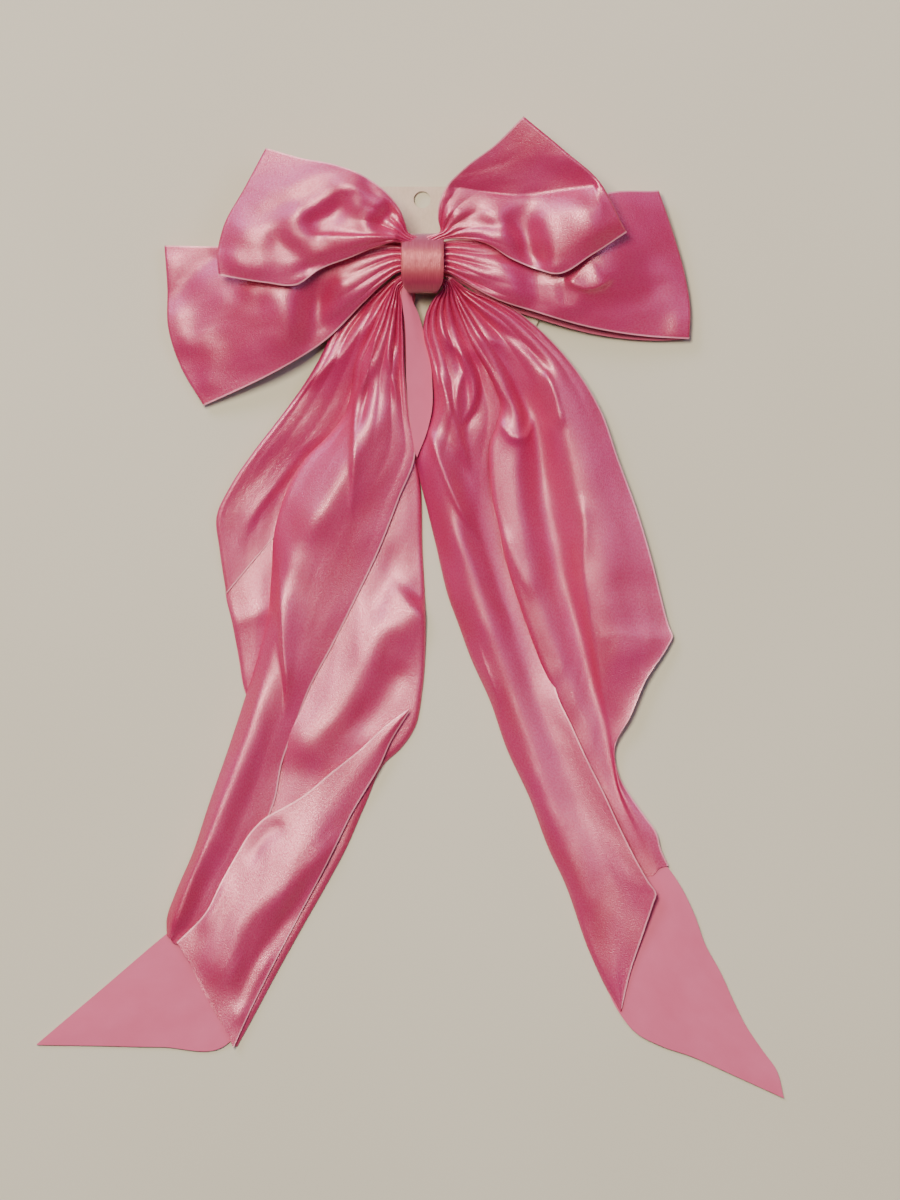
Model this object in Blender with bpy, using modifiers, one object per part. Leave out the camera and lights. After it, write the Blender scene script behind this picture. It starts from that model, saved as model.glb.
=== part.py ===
"""Ready-made satin ribbon bow on a spring barrette, carried on a notched display card.

The bow lies on its back with the long tails towards -Y. Everything is placed
from the centre of the knot, and an empty there carries the whole object.
"""
import math

import bmesh
import bpy
from mathutils import Vector

MM = 0.001

# Driving dimensions, in millimetres.
KNOT_X, KNOT_Y = 3.75, 121.75      # knot centre from the middle of the footprint
GAP = 0.35                         # clearance kept between neighbouring pieces

BAND_WIDTH = 15.2                  # ribbon wrapped round the knot
BAND_THICK = 1.0
BAND_HALF_Y = 10.6
BAND_LOW, BAND_HIGH = 6.4, 26.6

CARD_WIDTH, CARD_HEIGHT, CARD_THICK = 82.0, 50.0, 0.4
CARD_TOP_Y = 27.6
CARD_LOW = 1.25
CARD_CORNER = 3.0
HANG_HOLE_RADIUS = 3.0
HANG_HOLE_Y = 23.0
NOTCH_IN, NOTCH_OUT = 22.0, 32.5   # where each notch starts and ends along X
NOTCH_TOP_Y = 6.2

PLATE_LENGTH, PLATE_WIDTH, PLATE_THICK = 60.0, 8.0, 0.8
PLATE_CROWN_Z = 8.2
PLATE_DROP = 2.4                   # how far the bowed plate falls at its ends
EAR_THICK, EAR_LENGTH, EAR_LOW = 0.7, 4.0, 0.9

HINGE_X, HINGE_Z = -28.0, 2.2
PIN_RADIUS, PIN_HEAD_RADIUS, PIN_HEAD = 0.6, 1.1, 0.5
KNUCKLE_RADIUS = 1.5
ARM_WIDTH, ARM_THICK = 6.0, 0.9
ARM_TIP_X = 29.2

CATCH_X, CATCH_LENGTH = 27.5, 4.0
CATCH_WALL = 0.6
CATCH_TOP, CATCH_LOW = 5.4, 0.4
RIVET_RADIUS, RIVET_HEAD_RADIUS, RIVET_HEAD = 0.8, 1.5, 0.4

LEAF_HALF, LEAF_WIDTH, LEAF_THICK = 23.0, 5.0, 0.4
LEAF_MID_Z, LEAF_RISE = 2.45, 2.7      # leaves 1.0 mm of travel under the plate

THREAD_RADIUS = 0.25
THREAD_TURNS = 5
THREAD_HALF_Y, THREAD_HALF_Z, THREAD_MID_Z = 7.6, 7.7, 16.9

PINK = (0.62, 0.13, 0.24, 1.0)


# ---------------------------------------------------------------- scene helpers

def clear_scene():
    for obj in list(bpy.data.objects):
        bpy.data.objects.remove(obj, do_unlink=True)


def new_collection(name):
    group = bpy.data.collections.new(name)
    bpy.context.scene.collection.children.link(group)
    return group


def material(name, colour, roughness, metallic=0.0):
    mat = bpy.data.materials.new(name)
    mat.use_nodes = True
    shader = mat.node_tree.nodes["Principled BSDF"]
    shader.inputs["Base Color"].default_value = colour
    shader.inputs["Roughness"].default_value = roughness
    shader.inputs["Metallic"].default_value = metallic
    return mat


def place(obj, group, mat=None, at=(0.0, 0.0, 0.0), rotation=(0.0, 0.0, 0.0)):
    """Put an object in its collection, at a place in mm from the knot centre."""
    for holder in list(obj.users_collection):
        holder.objects.unlink(obj)
    group.objects.link(obj)
    obj.parent = knot
    obj.location = Vector(at) * MM
    obj.rotation_euler = rotation
    if mat is not None:
        obj.data.materials.append(mat)
    return obj


def hide_cutter(obj):
    obj.hide_render = True
    obj.display_type = "WIRE"
    return obj


def mesh_object(name, build, smooth=False):
    """An object whose mesh is filled in by build(bm)."""
    mesh = bpy.data.meshes.new(name)
    bm = bmesh.new()
    build(bm)
    bm.to_mesh(mesh)
    bm.free()
    if smooth:
        mesh.shade_smooth()
        mesh.set_sharp_from_angle(angle=math.radians(40))
    return bpy.data.objects.new(name, mesh)


def box(name, size):
    """A block of the given size in mm, centred on its origin."""
    def build(bm):
        bmesh.ops.create_cube(bm, size=1.0)
        bmesh.ops.scale(bm, vec=Vector(size) * MM, verts=bm.verts)
    return mesh_object(name, build)


def cylinder(name, radius, length, sides=20):
    """A round bar in mm, centred on its origin, along its own Z."""
    def build(bm):
        bmesh.ops.create_cone(bm, cap_ends=True, segments=sides,
                              radius1=radius * MM, radius2=radius * MM, depth=length * MM)
    return mesh_object(name, build, smooth=True)


def boolean(obj, other, operation):
    mod = obj.modifiers.new(operation.title(), "BOOLEAN")
    mod.operation = operation
    mod.object = other


def bowed_strip(name, x_half, width, thick, height_at, steps=24):
    """A thin strip along X whose height follows height_at(x), thickened evenly."""
    def build(bm):
        bmesh.ops.create_grid(bm, x_segments=steps, y_segments=2, size=0.5)
        for vert in bm.verts:
            x = vert.co.x * 2.0 * x_half
            vert.co = Vector((x, vert.co.y * width, height_at(x))) * MM
    strip = mesh_object(name, build, smooth=True)
    solid = strip.modifiers.new("Solidify", "SOLIDIFY")
    solid.thickness = thick * MM
    solid.offset = 0.0
    return strip


def turned(name, profile, sides=20):
    """A turned piece: profile holds (radius, height) in mm, from top to bottom."""
    def build(bm):
        verts = [bm.verts.new(Vector((r, 0.0, z)) * MM) for r, z in profile]
        for first, second in zip(verts, verts[1:]):
            bm.edges.new((first, second))
    piece = mesh_object(name, build)
    screw = piece.modifiers.new("Screw", "SCREW")
    screw.steps = sides
    screw.render_steps = sides
    screw.use_merge_vertices = True
    screw.merge_threshold = 0.00001
    screw.use_smooth_shade = False
    return piece


def flat_outline(name, outlines, thick):
    """A flat piece: closed outlines in mm in its own XY plane, filled and extruded."""
    curve = bpy.data.curves.new(name, "CURVE")
    curve.dimensions = "2D"
    curve.fill_mode = "BOTH"
    curve.extrude = thick * MM / 2.0
    for points in outlines:
        spline = curve.splines.new("POLY")
        spline.points.add(len(points) - 1)
        for slot, (x, y) in zip(spline.points, points):
            slot.co = (x * MM, y * MM, 0.0, 1.0)
        spline.use_cyclic_u = True
    return bpy.data.objects.new(name, curve)


def arc(cx, cy, radius, start, stop, steps):
    """Points in mm on an arc, angles in degrees."""
    angles = [math.radians(start + (stop - start) * i / steps) for i in range(steps + 1)]
    return [(cx + radius * math.cos(a), cy + radius * math.sin(a)) for a in angles]


# ---------------------------------------------------------------- soft pieces

def squared_circle(angle, squareness):
    """A point on a unit superellipse; squareness 1 is round and 0 is square."""
    c, s = math.cos(angle), math.sin(angle)
    power = 0.5 + 0.5 * squareness
    return (math.copysign(abs(c) ** power, c), math.copysign(abs(s) ** power, s))


def smooth_between(p0, p1, p2, p3, t):
    """Catmull-Rom value between p1 and p2."""
    return 0.5 * ((2.0 * p1) + (p2 - p0) * t + (2.0 * p0 - 5.0 * p1 + 4.0 * p2 - p3) * t * t
                  + (3.0 * p1 - p0 - 3.0 * p2 + p3) * t * t * t)


def ribbon_solid(name, stations, sides=14, steps=2):
    """A closed soft body lofted along a ribbon.

    Each station is (edge, other edge, thickness) in mm, and the section there is
    a flattened superellipse that spans the two edges.
    """
    rows = [(Vector(a), Vector(b), t) for a, b, t in stations]

    def row_at(i):
        return rows[max(0, min(len(rows) - 1, i))]

    smooth_rows = []
    for i in range(len(rows) - 1):
        quad = [row_at(i + k) for k in (-1, 0, 1, 2)]
        for step in range(steps):
            t = step / steps
            smooth_rows.append(tuple(smooth_between(*[q[k] for q in quad], t) for k in range(3)))
    smooth_rows.append(rows[-1])

    def build(bm):
        rings = []
        for edge, other, thick in smooth_rows:
            middle, across = (edge + other) / 2.0, (edge - other) / 2.0
            along = across.normalized()
            up = (Vector((0, 0, 1)) - along * along.z).normalized()
            ring = []
            for k in range(sides):
                u, v = squared_circle(2.0 * math.pi * k / sides, 0.35)
                point = middle + across * u + up * (v * thick / 2.0)
                ring.append(bm.verts.new(point * MM))
            rings.append(ring)
        for first, second in zip(rings, rings[1:]):
            for k in range(sides):
                j = (k + 1) % sides
                bm.faces.new((first[k], first[j], second[j], second[k]))
        bm.faces.new(rings[0])
        bm.faces.new(list(reversed(rings[-1])))
        bmesh.ops.recalc_face_normals(bm, faces=bm.faces)
    return mesh_object(name, build, smooth=True)


def make_upper_loops(group, satin):
    """The front figure-of-eight ribbon: left loop, pleated waist, right loop."""
    stations = [
        ((-53.5, 39.5, 20.5), (-70.5, -4.5, 20.0), 2.6),
        ((-44.0, 38.5, 21.0), (-61.0, -6.0, 21.0), 7.0),
        ((-22.0, 30.5, 25.0), (-45.0, -7.5, 24.5), 12.0),
        ((-12.5, 22.5, 26.0), (-31.0, -3.0, 25.5), 12.0),
        ((-10.0, 12.0, 23.5), (-15.0, -1.5, 23.5), 7.5),
        ((-7.0, 5.6, 21.5), (-7.0, -2.6, 21.5), 4.4),
        ((0.0, 5.6, 21.5), (0.0, -2.6, 21.5), 4.2),
        ((7.0, 5.6, 21.5), (7.0, -2.6, 21.5), 4.4),
        ((10.0, 12.5, 23.5), (16.0, -1.5, 23.5), 7.5),
        ((8.5, 24.0, 26.0), (28.0, 0.5, 25.5), 12.0),
        ((17.0, 34.5, 26.0), (47.5, -3.0, 25.0), 12.5),
        ((29.0, 46.0, 22.5), (64.0, 6.5, 22.5), 7.0),
        ((35.0, 50.1, 21.5), (71.0, 9.5, 21.5), 2.6),
    ]
    return place(ribbon_solid("upper_loop_ribbon", stations), group, satin)


def make_lower_loops(group, satin):
    """The rear figure-of-eight ribbon, drooping to the surface at its outer folds."""
    stations = [
        ((-90.0, 6.7, 4.5), (-76.0, -49.0, 2.8), 3.0),
        ((-81.0, 6.5, 6.5), (-67.5, -46.5, 4.5), 7.5),
        ((-64.0, 6.0, 9.5), (-54.0, -39.5, 8.0), 11.5),
        ((-43.0, 5.5, 12.0), (-39.5, -30.0, 11.0), 11.5),
        ((-24.0, 5.0, 15.5), (-25.5, -16.0, 15.0), 7.0),
        ((-11.0, 4.3, 16.6), (-11.0, -4.5, 16.6), 4.6),
        ((-6.0, 4.1, 16.7), (-6.0, -4.1, 16.7), 4.0),
        ((6.0, 4.1, 16.7), (6.0, -4.1, 16.7), 4.0),
        ((11.0, 4.3, 16.6), (11.0, -4.5, 16.6), 4.6),
        ((22.0, 7.5, 15.5), (22.0, -9.5, 15.2), 7.0),
        ((41.5, 15.0, 12.5), (39.5, -16.0, 12.0), 11.5),
        ((62.0, 22.5, 10.5), (62.5, -24.0, 9.5), 11.5),
        ((76.0, 25.5, 8.0), (85.0, -26.8, 7.0), 7.5),
        ((82.0, 25.8, 6.0), (94.0, -27.0, 5.0), 3.0),
    ]
    return place(ribbon_solid("lower_loop_ribbon", stations), group, satin)


def make_tails(group, satin):
    """One long strip: left tail, waist inside the band, right tail."""
    stations = [
        ((-134.9, -276.0, 0.7), (-132.0, -277.5, 0.7), 1.4),
        ((-90.0, -237.0, 1.6), (-64.0, -275.0, 1.6), 3.2),
        ((-85.0, -214.0, 3.2), (-44.5, -237.0, 3.2), 6.4),
        ((-72.0, -185.0, 3.5), (-29.0, -207.0, 3.5), 7.0),
        ((-64.0, -153.0, 3.5), (-13.0, -177.0, 3.5), 7.0),
        ((-68.0, -122.0, 3.5), (-2.0, -152.0, 3.5), 7.0),
        ((-72.5, -88.0, 3.5), (-0.8, -108.0, 3.5), 7.0),
        ((-55.0, -58.5, 4.0), (-1.0, -69.0, 4.0), 7.5),
        ((-39.0, -39.0, 5.5), (-1.0, -42.0, 5.5), 8.0),
        ((-27.0, -20.5, 7.6), (-2.2, -22.5, 7.6), 6.6),
        ((-15.0, -10.0, 10.6), (-8.5, -13.0, 10.4), 4.4),
        ((-11.0, -0.4, 11.9), (-8.6, -6.6, 11.9), 3.6),
        ((-4.5, 1.0, 12.0), (-4.5, -5.6, 12.0), 3.8),
        ((4.5, 1.0, 12.0), (4.5, -5.6, 12.0), 3.8),
        ((11.0, -0.4, 11.9), (8.6, -6.6, 11.9), 3.6),
        ((15.0, -10.0, 10.6), (8.5, -13.0, 10.4), 4.4),
        ((38.0, -20.5, 7.6), (2.0, -25.0, 7.6), 6.6),
        ((56.0, -38.0, 5.5), (1.2, -47.0, 5.5), 8.0),
        ((68.0, -65.0, 4.0), (1.2, -69.0, 4.0), 7.5),
        ((77.0, -90.0, 3.5), (3.0, -92.0, 3.5), 7.0),
        ((87.8, -129.0, 3.5), (13.5, -129.0, 3.5), 7.0),
        ((77.0, -153.0, 3.5), (22.5, -154.0, 3.5), 7.0),
        ((69.0, -171.0, 3.5), (30.0, -171.5, 3.5), 7.0),
        ((77.5, -197.0, 3.5), (40.0, -197.0, 3.5), 7.0),
        ((85.0, -219.0, 3.0), (50.0, -224.0, 3.0), 6.0),
        ((95.0, -234.0, 1.6), (69.5, -263.0, 1.6), 3.2),
        ((110.0, -257.5, 0.9), (88.0, -277.0, 0.9), 1.8),
        ((127.4, -291.8, 0.7), (125.0, -293.6, 0.7), 1.4),
    ]
    return place(ribbon_solid("tail_ribbon", stations), group, satin)


def make_wrap_band(group, satin):
    """The narrow ribbon wound round the knot and the barrette's plate."""
    half_z = (BAND_HIGH - BAND_LOW) / 2.0

    def ring(inset, steps=40):
        points = []
        for k in range(steps):
            u, v = squared_circle(2.0 * math.pi * k / steps, 0.15)
            points.append((u * (BAND_HALF_Y - inset), v * (half_z - inset)))
        return points

    band = flat_outline("wrap_band", [ring(0.0), ring(BAND_THICK)], BAND_WIDTH)
    upright = (math.pi / 2.0, 0.0, math.pi / 2.0)
    return place(band, group, satin, (0.0, 0.0, BAND_LOW + half_z), upright)


def make_gathering_thread(group, cotton):
    """Thread wound round the three pleated waists, hidden under the band."""
    curve = bpy.data.curves.new("gathering_thread", "CURVE")
    curve.dimensions = "3D"
    curve.bevel_depth = THREAD_RADIUS * MM
    curve.bevel_resolution = 1
    curve.use_fill_caps = True
    steps = 18
    total = THREAD_TURNS * steps
    spline = curve.splines.new("POLY")
    spline.points.add(total)
    pitch = 1.2
    for i in range(total + 1):
        u, v = squared_circle(2.0 * math.pi * i / steps, 0.2)
        x = (i / total - 0.5) * THREAD_TURNS * pitch
        spline.points[i].co = (x * MM, u * THREAD_HALF_Y * MM,
                               (THREAD_MID_Z + v * THREAD_HALF_Z) * MM, 1.0)
    return place(bpy.data.objects.new("gathering_thread", curve), group, cotton)


# ---------------------------------------------------------------- barrette

def plate_height(x):
    return PLATE_CROWN_Z - PLATE_DROP * (2.0 * x / PLATE_LENGTH) ** 2


def leaf_height(x):
    return LEAF_MID_Z + LEAF_RISE * (x / LEAF_HALF) ** 2


def make_base_plate(group, cutters, steel):
    """The bowed top plate, with an ear each side of the hinge and a rivet hole."""
    plate = bowed_strip("base_plate", PLATE_LENGTH / 2.0, PLATE_WIDTH, PLATE_THICK, plate_height)
    place(plate, group, steel)
    ear_top = plate_height(HINGE_X)
    for side, label in ((1, "rear"), (-1, "front")):
        ear = box("ear_" + label, (EAR_LENGTH - 0.4, EAR_THICK, ear_top - EAR_LOW))
        y = side * (PLATE_WIDTH / 2.0 - EAR_THICK / 2.0 - 0.1)
        place(hide_cutter(ear), cutters, None, (HINGE_X, y, (ear_top + EAR_LOW) / 2.0))
        boolean(plate, ear, "UNION")
    pin_bore = cylinder("pin_bore", PIN_RADIUS + GAP, PLATE_WIDTH * 2.0)
    place(hide_cutter(pin_bore), cutters, None, (HINGE_X, 0.0, HINGE_Z), (math.pi / 2.0, 0.0, 0.0))
    boolean(plate, pin_bore, "DIFFERENCE")
    rivet_hole = cylinder("rivet_hole", RIVET_RADIUS + GAP, 8.0)
    place(hide_cutter(rivet_hole), cutters, None, (CATCH_X, 0.0, 6.0))
    boolean(plate, rivet_hole, "DIFFERENCE")
    return plate


def make_hinge_pin(group, steel):
    """The headed pin through both ears and the arm's knuckle."""
    half = PLATE_WIDTH / 2.0 + GAP
    profile = [(0.0, half + PIN_HEAD), (PIN_HEAD_RADIUS, half + PIN_HEAD),
               (PIN_HEAD_RADIUS, half), (PIN_RADIUS, half),
               (PIN_RADIUS, -half), (PIN_HEAD_RADIUS, -half),
               (PIN_HEAD_RADIUS, -half - PIN_HEAD), (0.0, -half - PIN_HEAD)]
    pin = turned("hinge_pin", profile)
    return place(pin, group, steel, (HINGE_X, 0.0, HINGE_Z), (math.pi / 2.0, 0.0, 0.0))


def make_clasp_arm(group, cutters, steel):
    """The swinging arm behind the card; its origin is on the hinge axis."""
    knuckle_half = PLATE_WIDTH / 2.0 - EAR_THICK - 0.1 - GAP
    arm = box("clasp_arm", (ARM_TIP_X - HINGE_X, ARM_WIDTH, ARM_THICK))
    for vert in arm.data.vertices:
        vert.co += Vector(((ARM_TIP_X - HINGE_X) / 2.0, 0.0, ARM_THICK / 2.0 - HINGE_Z)) * MM
    place(arm, group, steel, (HINGE_X, 0.0, HINGE_Z))
    knuckle = cylinder("arm_knuckle", KNUCKLE_RADIUS, 2.0 * knuckle_half)
    place(hide_cutter(knuckle), cutters, None, (HINGE_X, 0.0, HINGE_Z), (math.pi / 2.0, 0.0, 0.0))
    boolean(arm, knuckle, "UNION")
    bore = cylinder("arm_bore", PIN_RADIUS + GAP, PLATE_WIDTH * 2.0)
    place(hide_cutter(bore), cutters, None, (HINGE_X, 0.0, HINGE_Z), (math.pi / 2.0, 0.0, 0.0))
    boolean(arm, bore, "DIFFERENCE")
    return arm


def make_catch(group, cutters, steel):
    """The channel-shaped catch whose two prongs stand either side of the arm's tip."""
    outer_half = ARM_WIDTH / 2.0 + GAP + CATCH_WALL
    height = CATCH_TOP - CATCH_LOW
    catch = box("catch", (CATCH_LENGTH, 2.0 * outer_half, height))
    place(catch, group, steel, (CATCH_X, 0.0, (CATCH_TOP + CATCH_LOW) / 2.0))
    inside = box("catch_inside", (CATCH_LENGTH * 2.0, 2.0 * (outer_half - CATCH_WALL), height))
    place(hide_cutter(inside), cutters, None,
          (CATCH_X, 0.0, (CATCH_TOP + CATCH_LOW) / 2.0 - CATCH_WALL))
    boolean(catch, inside, "DIFFERENCE")
    hole = cylinder("catch_hole", RIVET_RADIUS + GAP, 8.0)
    place(hide_cutter(hole), cutters, None, (CATCH_X, 0.0, 6.0))
    boolean(catch, hole, "DIFFERENCE")
    return catch


def make_catch_rivet(group, steel):
    """The rivet that fixes the catch under the plate's end."""
    top = plate_height(CATCH_X - RIVET_HEAD_RADIUS) + PLATE_THICK / 2.0 + GAP
    low = CATCH_TOP - CATCH_WALL - GAP
    profile = [(0.0, top + RIVET_HEAD), (RIVET_HEAD_RADIUS * 0.7, top + RIVET_HEAD),
               (RIVET_HEAD_RADIUS, top + RIVET_HEAD * 0.4), (RIVET_HEAD_RADIUS, top),
               (RIVET_RADIUS, top), (RIVET_RADIUS, low), (RIVET_HEAD_RADIUS, low),
               (RIVET_HEAD_RADIUS, low - RIVET_HEAD), (0.0, low - RIVET_HEAD)]
    return place(turned("catch_rivet", profile), group, steel, (CATCH_X, 0.0, 0.0))


def make_tension_leaf(group, steel):
    """The bowed spring strip under the plate that presses what the arm closes on."""
    leaf = bowed_strip("tension_leaf", LEAF_HALF, LEAF_WIDTH, LEAF_THICK, leaf_height)
    return place(leaf, group, steel)


# ---------------------------------------------------------------- display card

def make_display_card(group, board):
    """The card: round hang hole at the top, two open notches for the barrette."""
    right, top = CARD_WIDTH / 2.0, CARD_TOP_Y
    low = CARD_TOP_Y - CARD_HEIGHT
    r = CARD_CORNER
    outline = arc(right - r, top - r, r, 0, 90, 5)
    outline += arc(-right + r, top - r, r, 90, 180, 5)
    outline += arc(-right + r, low + r, r, 180, 270, 5)
    outline += [(-NOTCH_OUT, low), (-NOTCH_OUT, NOTCH_TOP_Y), (-NOTCH_IN, NOTCH_TOP_Y)]
    outline += [(-NOTCH_IN, low), (NOTCH_IN, low)]
    outline += [(NOTCH_IN, NOTCH_TOP_Y), (NOTCH_OUT, NOTCH_TOP_Y), (NOTCH_OUT, low)]
    outline += arc(right - r, low + r, r, 270, 360, 5)
    hole = arc(0.0, HANG_HOLE_Y, HANG_HOLE_RADIUS, 0, 360, 24)[:-1]
    card = flat_outline("display_card", [outline, hole], CARD_THICK)
    return place(card, group, board, (0.0, 0.0, CARD_LOW + CARD_THICK / 2.0))


clear_scene()
bow = new_collection("satin_bow")
cutting = new_collection("cutters")

knot = bpy.data.objects.new("knot_centre", None)
knot.location = Vector((KNOT_X, KNOT_Y, 0.0)) * MM
bow.objects.link(knot)

pink_satin = material("pink_satin", PINK, 0.35)
band_satin = material("band_satin", (0.70, 0.24, 0.28, 1.0), 0.35)
pink_thread = material("pink_thread", (0.60, 0.16, 0.26, 1.0), 0.7)
plated_steel = material("plated_steel", (0.62, 0.61, 0.60, 1.0), 0.3, 1.0)
card_board = material("card_board", (0.86, 0.82, 0.70, 1.0), 0.8)

make_upper_loops(bow, pink_satin)
make_lower_loops(bow, pink_satin)
make_tails(bow, pink_satin)
make_wrap_band(bow, band_satin)
make_gathering_thread(bow, pink_thread)
make_base_plate(bow, cutting, plated_steel)
make_hinge_pin(bow, plated_steel)
make_clasp_arm(bow, cutting, plated_steel)
make_catch(bow, cutting, plated_steel)
make_catch_rivet(bow, plated_steel)
make_tension_leaf(bow, plated_steel)
make_display_card(bow, card_board)
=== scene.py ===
"""Looks of a ready-made satin bow on a spring barrette and a notched display card.

Every ribbon is a grid of points lofted through given lines that run out from
the knot, then pressed with ridges and creases drawn in plan. Points are in
millimetres from the centre of the knot, with heights above the table.
"""

import bpy
import numpy as np
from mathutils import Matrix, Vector


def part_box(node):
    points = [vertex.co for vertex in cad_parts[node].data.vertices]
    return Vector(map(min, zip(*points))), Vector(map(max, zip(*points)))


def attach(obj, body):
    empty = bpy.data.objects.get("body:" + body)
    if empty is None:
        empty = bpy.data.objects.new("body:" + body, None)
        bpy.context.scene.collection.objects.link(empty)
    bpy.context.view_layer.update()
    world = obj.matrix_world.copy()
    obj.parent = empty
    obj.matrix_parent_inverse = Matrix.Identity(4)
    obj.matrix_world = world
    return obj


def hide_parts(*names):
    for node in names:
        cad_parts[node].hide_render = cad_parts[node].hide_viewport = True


# Lengths are in mm.
MM = 0.001
CLOTH, BAND_CLOTH = 0.3, 0.5           # thickness of the ribbons and of the wrapped band
EDGE_HIGHLIGHT_WIDTH = 0.7                         # width of the painted highlight where light catches the ribbons' woven edges
NO_EDGE = 9.0                          # stands for "far from any woven edge"
WEAVE_UNIT = 100.0                     # length of cloth for each unit of the weave's UV map
FOLD_RADIUS, FOLD_DROP = 2.0, 1.2      # how a folded edge turns under
TAIL_FLOOR = 0.35                      # the lowest a tail may lie above the table
TAIL_BLUR, LOOP_BLUR = 5, 14           # passes that smooth the soft ridges
SHARP_ANGLE = np.radians(65)           # edges steeper than this are shaded as sharp
TINY = 1e-9

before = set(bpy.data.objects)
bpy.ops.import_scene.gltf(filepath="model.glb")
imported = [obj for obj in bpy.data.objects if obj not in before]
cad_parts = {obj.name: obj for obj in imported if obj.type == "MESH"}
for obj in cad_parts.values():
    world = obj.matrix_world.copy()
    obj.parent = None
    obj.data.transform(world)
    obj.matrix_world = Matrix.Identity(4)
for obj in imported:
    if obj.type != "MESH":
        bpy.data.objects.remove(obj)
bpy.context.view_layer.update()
band_low, band_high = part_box("wrap_band")
KNOT = (band_low + band_high) / 2
KNOT.z = 0.0


# ---------------------------------------------------------------- smooth lines and grids

def line(points, count):
    """Evenly spaced points on a smooth line through the given ones."""
    points = np.asarray(points, float)
    chord = np.linalg.norm(np.diff(points, axis=0), axis=1)
    knots = np.concatenate([[0.0], np.cumsum(np.maximum(chord, 1e-6))])
    if len(points) == 2:
        slopes = np.repeat((points[1:] - points[:1]) / knots[-1], 2, axis=0)
    else:
        slopes = np.gradient(points, knots, axis=0)
    fine = np.linspace(0.0, knots[-1], 12 * len(points) + 1)
    span = np.clip(np.searchsorted(knots, fine, side="right") - 1, 0, len(points) - 2)
    width = knots[span + 1] - knots[span]
    t = ((fine - knots[span]) / width)[:, None]
    width = width[:, None]
    path = ((2 * t**3 - 3 * t**2 + 1) * points[span] + (t**3 - 2 * t**2 + t) * width * slopes[span]
            + (3 * t**2 - 2 * t**3) * points[span + 1] + (t**3 - t**2) * width * slopes[span + 1])
    run = np.concatenate([[0.0], np.cumsum(np.linalg.norm(np.diff(path, axis=0), axis=1))])
    wanted = np.linspace(0.0, run[-1], count)
    return np.stack([np.interp(wanted, run, path[:, k]) for k in range(points.shape[1])], axis=1)


def loft(rails, rows, columns):
    """Rows of points along the rails, columns across them, closer together at both edges."""
    lines = np.stack([line(rail, rows) for rail in rails], axis=1)
    even = np.linspace(0.0, 1.0, columns)
    crowding = 0.55
    share = (1 - crowding) * even + crowding * (0.5 - 0.5 * np.cos(np.pi * even))
    dense = 6 * columns
    grid = np.empty((rows, columns, 3))
    for row in range(rows):
        across = line(lines[row], dense)
        grid[row] = np.stack([np.interp(share * (dense - 1), np.arange(dense), across[:, k])
                              for k in range(3)], axis=1)
    return grid


def nearest(grid, path):
    """For every grid point: distance to the path in plan, which side, and how far along it."""
    flat = grid[..., :2].reshape(-1, 2)
    route = line(path, max(24, 5 * len(path)))
    best = np.full(len(flat), 1e9)
    side = np.zeros(len(flat))
    share = np.zeros(len(flat))
    for k in range(len(route) - 1):
        start, step = route[k], route[k + 1] - route[k]
        length2 = max(step @ step, 1e-12)
        t = np.clip(((flat - start) @ step) / length2, 0.0, 1.0)
        gap = flat - (start + t[:, None] * step)
        distance = np.hypot(gap[:, 0], gap[:, 1])
        closer = distance < best
        best = np.where(closer, distance, best)
        side = np.where(closer, step[0] * gap[:, 1] - step[1] * gap[:, 0], side)
        share = np.where(closer, (k + t) / (len(route) - 1), share)
    shape = grid.shape[:2]
    return best.reshape(shape), side.reshape(shape), share.reshape(shape)


def unit(vectors):
    length = np.linalg.norm(vectors, axis=-1, keepdims=True)
    return vectors / np.maximum(length, TINY)


def surface_normal(grid):
    return unit(np.cross(np.gradient(grid, axis=0), np.gradient(grid, axis=1)))


def press(grid, strokes, blur):
    """Raises ridges and sinks valleys. A stroke is (height, left width, right width, path, ends):
    the widths are to each side looking along the path, and ends says how long it fades in and out.
    A negative width makes that side a sharp crease; strokes with none are blurred together."""
    soft, crisp = np.zeros(grid.shape[:2]), np.zeros(grid.shape[:2])
    end_width, crease_decay, ridge_power = 0.45, 1.3, 1.5
    for height, left, right, path, *ends in strokes:
        fade_in, fade_out = ends[0] if ends else (0.15, 0.15)
        distance, side, share = nearest(grid, path)
        rise = np.clip(share / fade_in, 0, 1) * np.clip((1 - share) / fade_out, 0, 1)
        rise = rise * rise * (3 - 2 * rise)
        width = np.where(side > 0, abs(left), abs(right)) * (end_width + (1 - end_width) * rise)
        sharp = np.where(side > 0, left < 0, right < 0)
        ratio = distance / width
        profile = np.where(sharp, np.exp(-crease_decay * ratio), np.exp(-(ratio**ridge_power)))
        layer = crisp if min(left, right) < 0 else soft
        layer += height * rise * profile
    for _ in range(blur):
        for axis in (0, 1):
            padded = np.pad(soft, [(1, 1) if k == axis else (0, 0) for k in (0, 1)], mode="edge")
            before, after = (padded[:-2], padded[2:]) if axis == 0 else (padded[:, :-2], padded[:, 2:])
            soft = (before + 2 * soft + after) / 4
    grid[..., 2] += soft + crisp


def gather(grid, pleats, depth, reach):
    """Pleats that start deep at the knot and open out over a distance of reach.
    Their first few millimetres, inside the band, are pressed flatter."""
    in_band, flattest, fade_power, sink = 5.0, 0.25, 1.4, 1.2
    run = np.concatenate([[0.0], np.cumsum(np.linalg.norm(np.diff(grid.mean(1), axis=0), axis=1))])
    share = np.linspace(0.0, 1.0, grid.shape[1])
    fall = (np.exp(-(run / reach) ** fade_power) * np.clip(run / in_band, flattest, 1))[:, None]
    wave = 2 * np.abs(np.sin(np.pi * pleats * share[None, :])) - sink
    grid[..., 2] += depth * fall * wave


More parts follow.
